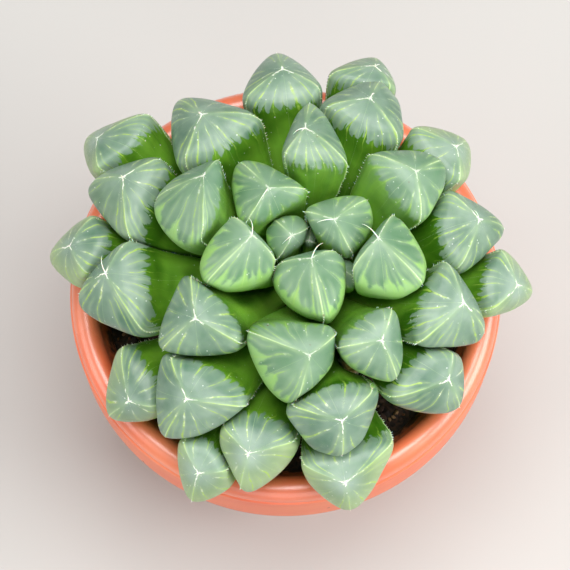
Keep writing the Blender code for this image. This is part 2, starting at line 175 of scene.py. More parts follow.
def node_net(name):
    """Points of a node, merged where they coincide, and which of them are joined by an edge."""
    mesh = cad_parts[name].data
    loose = np.empty(len(mesh.vertices) * 3)
    mesh.vertices.foreach_get("co", loose)
    loose = loose.reshape(-1, 3)
    corners = np.empty(len(mesh.loops), int)
    mesh.loops.foreach_get("vertex_index", corners)
    _, first, merged = np.unique(np.round(loose / (0.001 * MM)).astype(int), axis=0,
                                 return_index=True, return_inverse=True)
    triangles = merged.reshape(-1)[corners].reshape(-1, 3)
    joined = np.zeros((len(first), len(first)), bool)
    for a, b in ((0, 1), (1, 2), (2, 0)):
        joined[triangles[:, a], triangles[:, b]] = joined[triangles[:, b], triangles[:, a]] = True
    return loose[first], joined


def walk(ring, joined):
    """A ring's points in the order of their edges."""
    order = [ring[0]]
    while len(order) < len(ring):
        order.append(next(v for v in ring if joined[order[-1], v] and v not in order))
    return order


def leaf_net(name, crown):
    """A leaf's point, its rings from the point down as an array (ring, column, 3), and its foot.

    The rings are the steps of a breadth-first walk from the point. Each starts at the column below the last
    ring's first, and all are then turned so that column 0 is the right margin: on the lowest ring the columns
    lie closest to even steps from 30 degrees past the sideways direction, towards the rosette's axis.
    """
    points, joined = node_net(name)
    poles = np.flatnonzero(joined.sum(axis=1) == COLUMNS)
    tip, foot = sorted(poles, key=lambda v: -points[v, 2])
    seen = np.zeros(len(points), bool)
    seen[[tip, foot]] = True
    front = [tip]
    rings = []
    while True:
        step = np.flatnonzero(joined[front].any(axis=0) & ~seen)
        if not len(step):
            break
        seen[step] = True
        front = step
        ring = walk(list(step), joined)
        centre = points[ring].mean(axis=0)
        above = points[tip] if not rings else points[rings[-1]].mean(axis=0)
        spokes = points[ring] - centre
        if np.cross(spokes, np.roll(spokes, -1, axis=0)).sum(axis=0) @ (above - centre) < 0:
            ring.reverse()
        if rings:
            under = rings[-1][0]
            start = next(k for k in range(COLUMNS) if joined[under, ring[k]] and joined[under, ring[k - 1]])
            ring = ring[start:] + ring[:start]
        rings.append(ring)
    base = points[rings[-1]]
    centre = base.mean(axis=0)
    outward = np.array([*(centre[:2] - crown), 0])
    outward /= np.linalg.norm(outward)
    side = np.array([-outward[1], outward[0], 0])
    normal = points[rings[-2]].mean(axis=0) - centre
    inward = np.cross(normal / np.linalg.norm(normal), side)
    turn = np.degrees(np.arctan2((base - centre) @ inward, (base - centre) @ side))
    even = 30 + 360 * np.arange(COLUMNS) / COLUMNS
    misses = [np.abs((np.roll(turn, -k) - even + 180) % 360 - 180).sum() for k in range(COLUMNS)]
    net = points[np.array([np.roll(ring, -int(np.argmin(misses))) for ring in rings])]
    return points[tip], net, points[foot]


# ------------------------------------------------------------------ fine leaf skins
DRIED_LEAF = "leaf_25"        # a small leaf whose tip has dried to straw
YOUNG_TO, GROWN_FROM = 8, 16  # leaves count from the youngest; the looks of youth fade between these two
ELDER_FROM, OLD_FROM = 22, 30    # and the pale looks of age grow between these two
NEAR_CORNER = (0, 0.07, 0.16, 0.30, 0.50, 0.74)    # shares of the span beside a corner, closest at the corner
ARC_SAMPLES = (NEAR_CORNER, (0, 0.25, 0.5, 0.75), (0, 0.25, 0.5, 0.75), (0, 0.25, 0.5, 0.75),
               (0, 0.26, 0.50, 0.70, 0.84, 0.93))    # one arc from corner to corner
DOWN = (4, 4, 5, 7, 7, 5, 4, 3, 2, 1)    # fine rows between the net's rings, from the point down
RIB_HEIGHT = 0.20 * MM        # the thin wavy rib that stands along each margin
RIB_WIDTH = 0.22 * MM
RIB_WAVES = (2.3, 0.8)        # radians to the mm of the two waves along a rib
CORNER_CRISPNESS = ((0, SHOULDER_RING, 5, 8), (0.95, 0.95, 0.8, 0.2))    # rings, and how sharp the corners are there
VEIN_GAPS = (5, 4, 4)         # between the veins of each third of the leaf's round
VEIN_JITTER = 0.22            # how far a vein strays from even steps, as a share of a gap
ARM_LENGTHS = ((2.8, 4.5), (1.4, 3.2), (0.5, 1.6))    # least and most of the white star's three arms, in mm
INNER_REACH = 0.96            # how far down the inner face the window ends, as a share of the way to the shoulder
OUTER_REACH, YOUNG_REACH = 1.30, 0.94    # the same on the outer faces, of grown leaves and of the youngest


def hermite(rows, samples, gaps):
    """Cubic curves through all rows, with slopes of the parabola through three rows.

    samples holds the shares of each span at which it is cut, and gaps the distances between rows.
    """
    gaps = gaps.reshape(-1, *[1] * (rows.ndim - 1))
    chords = np.diff(rows, axis=0) / gaps
    slopes = np.empty_like(rows)
    slopes[1:-1] = (gaps[1:] * chords[:-1] + gaps[:-1] * chords[1:]) / (gaps[:-1] + gaps[1:])
    slopes[0] = 2 * chords[0] - slopes[1]
    slopes[-1] = 2 * chords[-1] - slopes[-2]
    fine = []
    for k, shares in enumerate(samples):
        t = np.asarray(shares).reshape(-1, *[1] * (rows.ndim - 1))
        fine.append((2 * t ** 3 - 3 * t ** 2 + 1) * rows[k] + (t ** 3 - 2 * t ** 2 + t) * gaps[k] * slopes[k]
                    + (3 * t ** 2 - 2 * t ** 3) * rows[k + 1] + (t ** 3 - t ** 2) * gaps[k] * slopes[k + 1])
    return np.concatenate(fine)


def round_spline(rings, crispness):
    """Closed cubic curves through each ring of points, blended with three open ones from corner to corner.

    The closed curve is the hermite one over the ring repeated; crispness is the share of the open ones, which
    leave a crease at each corner.
    """
    count = rings.shape[1]
    third = count // 3
    across = np.moveaxis(rings, 1, 0)
    lap = np.concatenate([across[-2:], across, across[:3]])
    closed = hermite(lap, ((), ()) + ARC_SAMPLES * 3 + ((), ()), np.ones(count + 4))
    again = np.concatenate([across, across[:1]])
    open_arcs = np.concatenate([hermite(again[k:k + third + 1], ARC_SAMPLES, np.ones(third))
                                for k in range(0, count, third)])
    share = crispness[None, :, None]
    return np.moveaxis((1 - share) * closed + share * open_arcs, 0, 1)


def leaf_skin(tip, net, foot):
    """The fine grid of a leaf without its two poles, (row, column, 3), from the point down."""
    rings = round_spline(net, np.interp(np.arange(len(net)), *CORNER_CRISPNESS))
    columns = rings.shape[1]
    rows = np.concatenate([np.broadcast_to(tip, (1, columns, 3)), rings, np.broadcast_to(foot, (1, columns, 3))])
    samples = [np.arange(count) / count for count in DOWN]
    gaps = np.linalg.norm(np.diff(rows, axis=0), axis=2).mean(axis=1)
    turn = SHOULDER_RING + 1
    creased = np.concatenate([hermite(rows[:turn + 1], samples[:turn], gaps[:turn]),
                              hermite(rows[turn:], samples[turn:], gaps[turn:])])
    return ((1 - SHOULDER_CREASE) * hermite(rows, samples, gaps) + SHOULDER_CREASE * creased)[1:]


def round_shares():
    """Place of each fine column round the leaf in thirds, 0 to 3, with the first again at the end."""
    arc = np.concatenate([(k + np.array(shares)) / len(ARC_SAMPLES) for k, shares in enumerate(ARC_SAMPLES)])
    return np.append(np.concatenate([arc, 1 + arc, 2 + arc]), 3.0)


def corner_distance(skin):
    """Signed distance round the leaf from the nearest corner line at each point of its skin, in metres."""
    thirds = round_shares()
    around = np.linalg.norm(np.roll(skin, -1, axis=1) - skin, axis=2)
    run = np.concatenate([np.zeros((len(skin), 1)), np.cumsum(around, axis=1)], axis=1)
    nearest = np.round(thirds).astype(int)
    corners = np.searchsorted(thirds, np.arange(4))
    return (run - run[:, corners[nearest]])[:, :-1]


def with_ribs(skin, fade):
    """The skin with a thin rib along each corner: a bell curve of the distance from the corner line.

    It stands away from the middle of each row, is half as high on the keel, and fades down the body.
    """
    spokes = skin - skin.mean(axis=1, keepdims=True)
    spokes /= np.linalg.norm(spokes, axis=2, keepdims=True)
    keel = np.abs(round_shares()[:-1] - 2) < 0.5
    height = RIB_HEIGHT * np.where(keel, 0.5, 1.0) * np.exp(-(corner_distance(skin) / RIB_WIDTH) ** 2) * fade
    return skin + height[:, :, None] * spokes


def vein_places(rng):
    """Where veins start round the leaf, in thirds of its round: one on each corner and uneven ones between."""
    places = []
    for third, count in enumerate(VEIN_GAPS):
        inside = (np.arange(1, count) + rng.uniform(-VEIN_JITTER, VEIN_JITTER, count - 1)) / count
        places += [third, *(third + inside)]
    return np.array([*places, 3.0])


def leaf_maps(skin, tip, rng, youth):
    """What the leaf's material reads at each point of its skin.

    phase counts the veins round the leaf; down is the distance from the point along the column, in mm; gap is
    the distance between veins there, in mm; window is down over the distance at which the window ends; inner
    is 1 on the inner face; ridge is the signed distance to the nearest corner line, in mm; arm is the length of
    the white star's arm on that corner, in mm.
    """
    rows, columns = skin.shape[:2]
    thirds = round_shares()
    places = vein_places(rng)
    phase = np.interp(thirds, places, np.arange(len(places)))
    steps = np.linalg.norm(np.diff(skin, axis=0, prepend=tip[None, None, :].repeat(columns, axis=1)), axis=2)
    down = np.cumsum(steps, axis=0) / MM
    around = np.linalg.norm(np.roll(skin, -1, axis=1) - skin, axis=2) / MM
    gap = around / np.diff(phase)
    gap = sum(np.roll(gap, k, axis=1) for k in range(-4, 5)) / 9
    inner = smooth(-0.05, 0.05, thirds[:-1]) * smooth(1.05, 0.95, thirds[:-1]) + smooth(2.95, 3.05, thirds[:-1])
    ridge = corner_distance(skin) / MM
    shoulder = down[sum(DOWN[:SHOULDER_RING + 1]) - 1]
    face = np.sin(math.pi * np.clip(thirds[:-1], 0, 1))
    outer_reach = OUTER_REACH - (OUTER_REACH - YOUNG_REACH) * youth
    reach = shoulder * (outer_reach + (INNER_REACH - outer_reach) * face) * rng.uniform(0.95, 1.05)
    window = down / reach
    arm = rng.permutation([rng.uniform(*lengths) for lengths in ARM_LENGTHS])
    arm = np.broadcast_to(arm[np.round(thirds[:-1]).astype(int) % 3], down.shape)
    return phase, down, gap, window, np.broadcast_to(inner, down.shape), ridge, arm


def make_leaf(name, crown, material, number):
    """One leaf with its skin, its UV map and its attributes."""
    rng = np.random.default_rng(number)
    tip, net, foot = leaf_net(name, crown)
    skin = leaf_skin(tip, net, foot)
    rows, columns = skin.shape[:2]
    youth, elder = smooth(GROWN_FROM, YOUNG_TO, number), smooth(ELDER_FROM, OLD_FROM, number)
    phase, down, gap, window, inner, ridge, arm = leaf_maps(skin, tip, rng, youth)
    wave = 1 + 0.6 * math.prod(np.sin(rate * down + rng.uniform(0, 6)) for rate in RIB_WAVES)
    skin = with_ribs(skin, wave * smooth(0.3, 1.2, down) * smooth(2.6, 1.6, window))
    points = np.vstack([skin.reshape(-1, 3), tip, foot])
    top, bottom = rows * columns, rows * columns + 1
    quads = tube_faces(rows, columns)
    caps = (fan_faces(columns, 0, top, True), fan_faces(columns, (rows - 1) * columns, bottom, False))
    piece = add_piece(name.replace("leaf", "leaf_skin"), points, (quads, *caps), material, "leaf_flesh", (name,))
    mesh = piece.data
    start = np.tile(np.arange(columns), rows - 1)
    quad_phase = np.stack([phase[start], phase[start], phase[start + 1], phase[start + 1]], axis=1)
    middle = 0.5 * (phase[:-1] + phase[1:])
    up_phase = np.stack([middle, phase[:-1], phase[1:]], axis=1)
    down_phase = np.stack([middle, phase[1:], phase[:-1]], axis=1)
    loop_phase = np.concatenate([quad_phase.ravel(), up_phase.ravel(), down_phase.ravel()])
    corners = np.empty(len(mesh.loops), int)
    mesh.loops.foreach_get("vertex_index", corners)
    loop_down = np.concatenate([down.ravel(), [0.0, down.max()]])[corners]
    uv = mesh.uv_layers.new(name="veins")
    uv.data.foreach_set("uv", np.stack([loop_phase, loop_down], axis=1).ravel())
    maps = {
        "lie": np.stack([np.append(gap, [0, 1]), np.append(window, [0, 9]), np.append(inner, [0, 0])], axis=1),
        "mark": np.stack([np.append(ridge, [0, 0]), np.append(arm, [3, 0]), np.full(len(points), number * 7.31)],
                         axis=1),
        "own": np.tile([youth, float(name == DRIED_LEAF), elder], (len(points), 1)),
    }
    for key, values in maps.items():
        layer = mesh.attributes.new(key, "FLOAT_VECTOR", "POINT")
        layer.data.foreach_set("vector", values.ravel())
    return tip, skin, down, window


def leaf_material():
    """Living leaf flesh: a satin skin over watery tissue. The tip is a pale see-through window that light enters,
    with yellow-green veins that widen into the saturated green of the body."""
    material, put = new_material("living leaf flesh")

    def read(attribute):
        vector = put("Attribute", attribute_name=attribute).node.outputs["Vector"]
        return put("SeparateXYZ", vector).node.outputs

    place = put("TexCoord").node.outputs["Object"]
    phase, down, _ = put("SeparateXYZ", put("UVMap", uv_map="veins")).node.outputs
    gap, window, inner = read("lie")
    ridge, arm, seed = read("mark")
    youth, dry, elder = read("own")

    # veins: two sets of beaded lines a tenth to a third of a millimetre wide that swing over 5 mm, the second
    # between the first and fainter. Further down each widens as a wedge of body green, until the wedges meet.
    wander = put("MapRange", put("TexNoise", place, 0.19 / MM, 1), 0.3, 0.7, -0.16, 0.16)
    fray = put("MapRange", put("TexNoise", place, 1.4 / MM, 3), 0.3, 0.7)
    phase = put("Math ADD", phase, wander)
    crisp = put("Math MULTIPLY", inner, put("Math SUBTRACT", 1, youth))
    ragged = put("MapRange", put("TexNoise", place, 0.9 / MM, 2), 0.3, 0.7, -0.06, 0.06)
    window = put("Math ADD", window, ragged)
    lines, wedges, halos = [], [], []
    for shift, start_low, start_high, half_width, wedge_from in ((0.0, 1.0, 3.6, 0.085, 0.46),
                                                                 (0.5, 3.0, 6.5, 0.05, 0.62)):
        shifted = put("Math ADD", phase, shift)
        number = put("Math ROUND", shifted)
        off = put("Math ABSOLUTE", put("Math SUBTRACT", shifted, number))
        off = put("Math MULTIPLY", off, gap)
        luck = put("TexWhiteNoise 3D", put("CombineXYZ", number, seed, shift)).node.outputs["Color"]
        luck = put("SeparateXYZ", luck).node.outputs
        width = put("MapRange", luck[0], 0, 1, 0.5 * half_width, 1.9 * half_width)
        width = put("Math MULTIPLY", width, put("MapRange", fray, 0, 1, 0.4, 1.4))
        begin = put("MapRange", luck[1], 0, 1, start_low, start_high)
        shown = put("MapRange SMOOTHSTEP", put("Math SUBTRACT", down, begin), 0, 1.8)
        line = put("MapRange SMOOTHSTEP", put("Math SUBTRACT", width, off), -0.08, 0.04)
        beads = put("CombineXYZ", number, put("Math MULTIPLY", down, 0.55), seed)
        beads = put("MapRange", put("TexNoise", beads, 1.7, 1), 0.36, 0.56, 0.25)
        line = put("Math MULTIPLY", line, beads)
        lines.append(put("Math MULTIPLY", line, shown))
        halos.append(put("Math MULTIPLY", put("MapRange SMOOTHSTEP", off, 0.75, 0.1), shown))
        onset = put("MapRange", crisp, 0, 1, wedge_from, wedge_from + 0.10)
        onset = put("Math ADD", onset, put("Math MULTIPLY", luck[2], 0.26))
        wedge = put("MapRange", window, onset, 1.14)
        wedge = put("Math POWER", wedge, put("MapRange", crisp, 0, 1, 1, 2.3))
        wedge = put("Math MULTIPLY", put("Math MULTIPLY", wedge, 0.62), gap)
        blur = put("MapRange", crisp, 0, 1, 0.75, 0.14)
        wedges.append(put("MapRange SMOOTHSTEP", put("Math SUBTRACT", wedge, off), -0.04, blur))
    line = put("Math MAXIMUM", lines[0], put("Math MULTIPLY", lines[1], 0.45))
    line = put("Math MULTIPLY", line, put("MapRange", youth, 0, 1, 1, 0.6))
    wedge = put("Math MAXIMUM", wedges[0], wedges[1])
    halo = put("Math MAXIMUM", halos[0], halos[1])
    # the window's border: narrow green spikes of uneven length, three to each vein gap
    dense = put("Math MULTIPLY", phase, 3)
    cell = put("Math FLOOR", dense)
    tooth = put("Math SUBTRACT", put("Math SUBTRACT", dense, cell), 0.5)
    tooth = put("MapRange", put("Math ABSOLUTE", tooth), 0.5, 0)
    tooth = put("Math POWER", tooth, 1.6)
    luck = put("TexWhiteNoise 3D", put("CombineXYZ", cell, seed))
    tooth = put("Math MULTIPLY", tooth, put("MapRange", luck.node.outputs["Value"], 0, 1, 0.04, 0.30))
    edge = put("Math ADD", window, tooth)
    soft_edge = put("MapRange", crisp, 0, 1, 1.40, 1.10)
    beyond = put("MapRange SMOOTHSTEP", edge, 1, soft_edge)
    wedge = put("Math MAXIMUM", wedge, beyond)

    # colours of the window, the body below it and the veins: haze in clouds of 6 mm, pale stripes that follow the
    # veins, and painted shade on the inner faces: darker green just below the window and dark blotches of 9 mm
    haze = put("MapRange", put("TexNoise", place, 0.17 / MM, 3), 0.3, 0.7)
    glass = put("Mix RGBA", haze, colour("557660"), colour("869E89"))
    pale = put("Math MULTIPLY", put("Math SUBTRACT", 1, inner), elder)
    pale = put("Math MULTIPLY", pale, put("MapRange", down, 1, 6, 0, 0.7))
    glass = put("Mix RGBA", pale, glass, colour("A9BD86"))
    glass = put("Mix RGBA", put("Math MULTIPLY", youth, 0.40), glass, colour("5C8C54"))
    # the window turns paler and milkier towards the point, more on old leaves
    milky_tip = put("Math MULTIPLY", put("MapRange SMOOTHSTEP", down, 4.5, 0.3), put("MapRange", elder, 0, 1, 0.18, 0.50))
    milky_tip = put("Math MULTIPLY", milky_tip, put("MapRange", haze, 0, 1, 0.6, 1.1))
    glass = put("Mix RGBA", milky_tip, glass, colour("AEBFB2"))
    ridge_line = put("Math ABSOLUTE", ridge)
    thin = put("MapRange SMOOTHSTEP", ridge_line, 1.1, 0.1, 0, 0.22)
    glass = put("Mix RGBA", thin, glass, colour("A4C084"))
    # painted shade: the inner body is dark green just below the window and lightens further down
    inner_body = put("Mix RGBA", put("MapRange", window, 1, 1.8), colour("447410"), colour("74AC36"))
    outer_body = put("Mix RGBA", put("MapRange", window, 0.8, 2), colour("93BA7C"), colour("68A034"))
    deep = put("Math MULTIPLY", inner, put("MapRange", youth, 0, 1, 1, 0.5))
    body = put("Mix RGBA", deep, outer_body, inner_body)
    along = put("Math MULTIPLY", down, 0.05)
    stripes = put("MapRange", put("TexNoise", put("CombineXYZ", phase, along, seed), 1.6, 2), 0.35, 0.65, 0, 0.35)
    body = put("Mix RGBA", stripes, body, colour("86B835"))
    # painted shade: dark green blotches of 9 mm on the inner faces, where the gaps between leaves lie in shade
    shade_blotch = put("MapRange", put("TexNoise", place, 0.11 / MM, 2), 0.46, 0.62, 0, 0.75)
    body = put("Mix RGBA", put("Math MULTIPLY", shade_blotch, deep), body, colour("2A5C04"))
    vein = put("Mix RGBA", put("MapRange", down, 1.2, 4.5), colour("DDE6B4"), colour("A6C654"))
    vein = put("Mix RGBA", put("Math MULTIPLY", youth, 0.5), vein, colour("94BE6A"))
    frost = put("Math MULTIPLY", put("MapRange", fray, 0.55, 0.75), put("MapRange", down, 5.5, 2))
    vein = put("Mix RGBA", frost, vein, colour("F0F4E6"))
    glass = put("Mix RGBA", put("Math MULTIPLY", halo, 0.16), glass, colour("B9CBAA"))
    base = put("Mix RGBA", wedge, glass, body)
    line_left = put("MapRange", window, 0.8, 1.2, 0.8, 0.08)
    base = put("Mix RGBA", put("Math MULTIPLY", line, line_left), base, vein)

    # a frayed white star on the point, one arm on each corner, and a light line along the corners below it
    stray = put("MapRange", put("TexNoise", place, 0.42 / MM, 1), 0.3, 0.7, -0.5, 0.5)
    stray = put("Math MULTIPLY", stray, put("MapRange", down, 0, 3.5))
    stray = put("Math ABSOLUTE", put("Math ADD", ridge, stray))
    share = put("Math DIVIDE", down, arm)
    on_arm = put("MapRange", stray, 0.28, 0, 0, 0.66)
    on_arm = put("Math MULTIPLY", on_arm, put("MapRange", share, 1, 0.5))
    spokes = put("CombineXYZ", phase, put("Math MULTIPLY", down, 0.5), seed)
    spokes = put("MapRange", put("TexNoise", spokes, 2.6, 1), 0.48, 0.64, 0, 0.44)
    core = put("MapRange", down, 0.7, 0.1, 0, 0.34)
    star = put("Math ADD", put("Math ADD", on_arm, spokes), core)
    star = put("Math ADD", star, put("MapRange", fray, 0, 1, -0.14, 0.10))
    fall = put("MapRange", down, 0, 5, 0.40, 0.74)
    star = put("MapRange SMOOTHSTEP", put("Math SUBTRACT", star, fall), 0, 0.24)
    star = put("Math MULTIPLY", star, put("MapRange", youth, 0, 1, 1, 0.45))
    base = put("Mix RGBA", star, base, colour("EDF1E2"))
    margin = put("MapRange SMOOTHSTEP", ridge_line, 0.04, 0.18, 0.6, 0)
    for low, high in ((0.2, 0.6), (2.4, 1.5)):
        margin = put("Math MULTIPLY", margin, put("MapRange", window, low, high))
    base = put("Mix RGBA", margin, base, colour("C6DCA6"))

    # glints: painted highlights, pale grains a fifth of a millimetre wide, in patches of 3 mm
    glint_grain = put("MapRange", put("TexVoronoi", place, 0.9 / MM), 0.13, 0.06)
    glint_patch = put("MapRange", put("TexNoise", place, 0.33 / MM, 1), 0.50, 0.62)
    glint_grain = put("Math MULTIPLY", put("Math MULTIPLY", glint_grain, glint_patch), 0.8)
    base = put("Mix RGBA", glint_grain, base, colour("EEF4EA"))

    # a few brown flecks 0.4 mm wide on the youngest leaves
    fleck = put("MapRange", put("TexVoronoi", place, 0.62 / MM), 0.16, 0.10)
    here = put("MapRange", put("TexNoise", place, 0.24 / MM), 0.62, 0.66, 0, 0.8)
    fleck = put("Math MULTIPLY", put("Math MULTIPLY", fleck, here), youth)
    base = put("Mix RGBA", fleck, base, colour("6E4A34"))

    # the one dried tip
    straw = put("Math MULTIPLY", dry, put("MapRange", down, 2.6, 1.2))
    base = put("Mix RGBA", straw, base, put("Mix RGBA", fray, colour("6A4320"), colour("E8C777")))

    # skin cells: a fine pebbled surface of 0.3 and 2.4 mm, with the veins a little proud
    cells = put("TexNoise", place, 3 / MM, 2)
    swell = put("TexNoise", place, 0.42 / MM, 2)
    height = put("Math ADD", put("Math MULTIPLY", cells, 0.25), swell)
    height = put("Math ADD", height, put("Math MULTIPLY", line, 0.3))
    return shade(material, Base_Color=base, Normal=put("Bump", Height=height, Strength=0.4, Distance=0.12 * MM),
                 Roughness=put("MapRange", cells, 0.3, 0.7, 0.30, 0.50), IOR=1.40, Subsurface_Weight=0.35,
                 Subsurface_Scale=2.5 * MM, Subsurface_Radius=(0.6, 1.0, 0.35), Coat_Weight=0.12,
                 Coat_Roughness=0.15)


# ------------------------------------------------------------------ awns and marginal teeth
LONG_AWNS = {                 # leaf: length in mm, heading in degrees from +X, and sideways bend as a share of length
    "leaf_04": (3.4, 66, -0.25), "leaf_07": (3.7, 124, 0.25), "leaf_06": (3.2, 95, 0.15),
    "leaf_19": (3.2, 118, -0.3), "leaf_05": (3.2, 182, 0.15), "leaf_02": (3.2, 120, 0.3), "leaf_13": (2.6, 200, 0.2),
    "leaf_08": (4.6, 226, 0.15), "leaf_03": (2.4, 200, 0.3), "leaf_23": (2.2, 110, 0.2),
}
AWN_ROOT = 0.11 * MM
AWN_LEAN, SPUR_LEAN = 0.85, 0.4    # how far a long awn and a short spur lean to their heading
SPUR_LENGTH = (0.5, 1.3)      # mm
TIP_ROW = 12                  # the skin's row whose middle gives the direction in which a leaf ends
TOOTH_SPACING = 0.62          # mm
TOOTH_SIZE = (0.20, 0.46)     # mm
TOOTH_CHANCE = (0.9, 0.9, 0.45)    # on the right margin, the left margin and the keel
TOOTH_BELT = (0.55, 1.75)     # where teeth grow, as shares of the way to the window's end


def tube(path, radii, sides):
    """A tapered tube along a path: rings square to it, closed by a point at each end.

    Each ring's two directions are the crosses of the path's direction with one fixed helper direction.
    """
    ahead = np.gradient(path, axis=0)
    ahead /= np.linalg.norm(ahead, axis=1, keepdims=True)
    helper = np.array([0.3, 0.5, -0.81])
    first = np.cross(ahead, helper)
    first /= np.linalg.norm(first, axis=1, keepdims=True)
    second = np.cross(ahead, first)
    angles = 2 * math.pi * np.arange(sides) / sides
    rings = path[:, None, :] + radii[:, None, None] * (
        np.cos(angles)[None, :, None] * first[:, None, :] - np.sin(angles)[None, :, None] * second[:, None, :])
    rings = rings[::-1]
    points = np.vstack([rings.reshape(-1, 3), path[-1] + ahead[-1] * radii[-1], path[0] - ahead[0] * radii[0]])
    rows = len(path)
    faces = (tube_faces(rows, sides), fan_faces(sides, 0, rows * sides, True),
             fan_faces(sides, (rows - 1) * sides, rows * sides + 1, False))
    return points, faces


def joined(shapes):
    """Several shapes as one list of points and one list of face blocks."""
    points, faces, first = [], [], 0
    for shape_points, blocks in shapes:
        points.append(shape_points)
        faces += [block + first for block in blocks]
        first += len(shape_points)
    return np.vstack(points), faces


def make_awns(leaves, material):
    """A bristle on each leaf's point: long and bowed on the young leaves, a short spur on the others.

    It rises from the point along the leaf, leans to its heading by the square of the way along and bends
    sideways by the cube, with a low hump added.
    """
    rng = np.random.default_rng(70)
    shapes = []
    t = np.linspace(0, 1, 9)[:, None]
    for name, (tip, skin, _, _) in leaves.items():
        spur = rng.uniform(*SPUR_LENGTH), rng.uniform(0, 360), rng.uniform(-0.3, 0.3)
        length, heading, bend = LONG_AWNS.get(name, spur)
        up = tip - skin[TIP_ROW].mean(axis=0)
        up /= np.linalg.norm(up)
        heading = math.radians(heading)
        ahead = np.array([math.cos(heading), math.sin(heading), 0])
        aside = np.array([-math.sin(heading), math.cos(heading), 0])
        lean = AWN_LEAN if name in LONG_AWNS else SPUR_LEAN
        path = tip - 0.25 * MM * up + length * MM * (t * (1 - lean) * up + lean * t * ahead + bend * t * t * aside)
        path += 0.12 * length * MM * (t * (1 - t)) * up * 4
        radii = AWN_ROOT * (1.15 - t[:, 0]) ** 0.8
        shapes.append(tube(path, radii, 6))
    add_piece("awns", *joined(shapes), material, "leaf_flesh")


def make_teeth(leaves, material):
    """Marginal teeth: small four-sided spikes along the two margins and the keel, near the shoulder.

    Each stands away from the middle of its row, bent a little towards the point.
    """
    rng = np.random.default_rng(71)
    thirds = round_shares()
    shapes = []
    for name, (tip, skin, down, window) in leaves.items():
        for corner, likely in enumerate(TOOTH_CHANCE):
            column = int(np.searchsorted(thirds, corner))
            line = skin[:, column]
            run = down[:, column]
            places = np.arange(run[-1] * 0.05, run[-1], TOOTH_SPACING)
            places += rng.uniform(-0.22, 0.22, len(places))
            share = np.interp(places, run, window[:, column])
            grows = (rng.uniform(size=len(places)) < likely) & (share > TOOTH_BELT[0]) & (share < TOOTH_BELT[1])
            places = places[grows]
            sizes = rng.uniform(*TOOTH_SIZE, len(places)) * MM
            for place, size in zip(places, sizes):
                root = np.array([np.interp(place, run, line[:, axis]) for axis in range(3)])
                row = int(np.searchsorted(run, place).clip(1, len(run) - 2))
                out = root - skin[row].mean(axis=0)
                out /= np.linalg.norm(out)
                along = line[row - 1] - line[row + 1]
                along /= np.linalg.norm(along)
                side = np.cross(out, along)
                corners = [root - 0.08 * MM * out + 0.24 * size * (a * along + b * side)
                           for a, b in ((1, 0), (0, 1), (-1, 0), (0, -1))]
                points = np.array([*corners, root + size * (out + 0.35 * along)])
                shapes.append((points, (np.array([[0, 1, 4], [1, 2, 4], [2, 3, 4], [3, 0, 4]]),
                                        np.array([[3, 2, 1, 0]]))))
    add_piece("marginal_teeth", *joined(shapes), material, "leaf_flesh", smooth_angle=20)


def awn_material():
    """Dry awn tissue: thin, papery and white, and it lets some light through."""
    material, put = new_material("papery awn tissue")
    streaks = put("TexNoise", put("TexCoord").node.outputs["Object"], 0.7 / MM, 2)
    base = put("Mix RGBA", streaks, colour("D5DDBF"), colour("FAFBF2"))
    return shade(material, Base_Color=base, Roughness=0.5, Subsurface_Weight=0.4, Subsurface_Scale=0.3 * MM)


# ------------------------------------------------------------------ the pot
BAND_RADIUS, _, POT_TOP = map(float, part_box("pot")[1])
FOOT_RADIUS = 25.5 * MM
WALL = 1.6 * MM
FLOOR = 2.4 * MM
BAND_HEIGHT = 15 * MM
BAND_WALL = 1.5 * MM
NECK_RADIUS = 32.6 * MM       # outside of the wall behind the band
POCKET_TOP = 4.6 * MM         # the open gap behind the band ends this far below the top of the rim
LIP_WIDTH = 4.6 * MM
LIP_HEIGHT = 2.3 * MM
SEAM_DEPTH = 0.35 * MM        # fine step between the lip and the band
FOOT_RING = 3.0 * MM
FOOT_RECESS = 1.6 * MM        # the underside lies this far above the ground
PAD_RADIUS = 8.0 * MM         # flat pad in the middle of the underside
EDGE_BREAK = 0.6 * MM
DRAIN_HOLES = 6
DRAIN_RADIUS = 1.8 * MM
DRAIN_CIRCLE = 14.5 * MM
FOOT_NOTCHES = 3
NOTCH_WIDTH = 3.0 * MM
POT_STEPS = 192               # round the pot
POT_CREASE = 38               # degrees; sharper edges than this stay sharp
LIP_INSIDE = 32.8 * MM        # radius at which the lip turns down inside
SOIL_LEVEL = POT_TOP - 5.0 * MM


def rounded(outline, steps=4):
    """An outline of (radius, height, rounding) with each corner cut back by its rounding to a quadratic curve."""
    corners = np.array(outline, float)
    places = corners[:, :2]
    fine = [places[0]]
    for before, here, after, cut in zip(places[:-2], places[1:-1], places[2:], corners[1:-1, 2]):
        if cut == 0:
            fine.append(here)
            continue
        back, ahead = before - here, after - here
        cut_back = min(cut, 0.45 * np.linalg.norm(back))
        cut_ahead = min(cut, 0.45 * np.linalg.norm(ahead))
        start = here + cut_back * back / np.linalg.norm(back)
        end = here + cut_ahead * ahead / np.linalg.norm(ahead)
        t = np.linspace(0, 1, steps + 1)[:, None]
        fine += list((1 - t) ** 2 * start + 2 * t * (1 - t) * here + t ** 2 * end)
    return np.array([*fine, places[-1]])


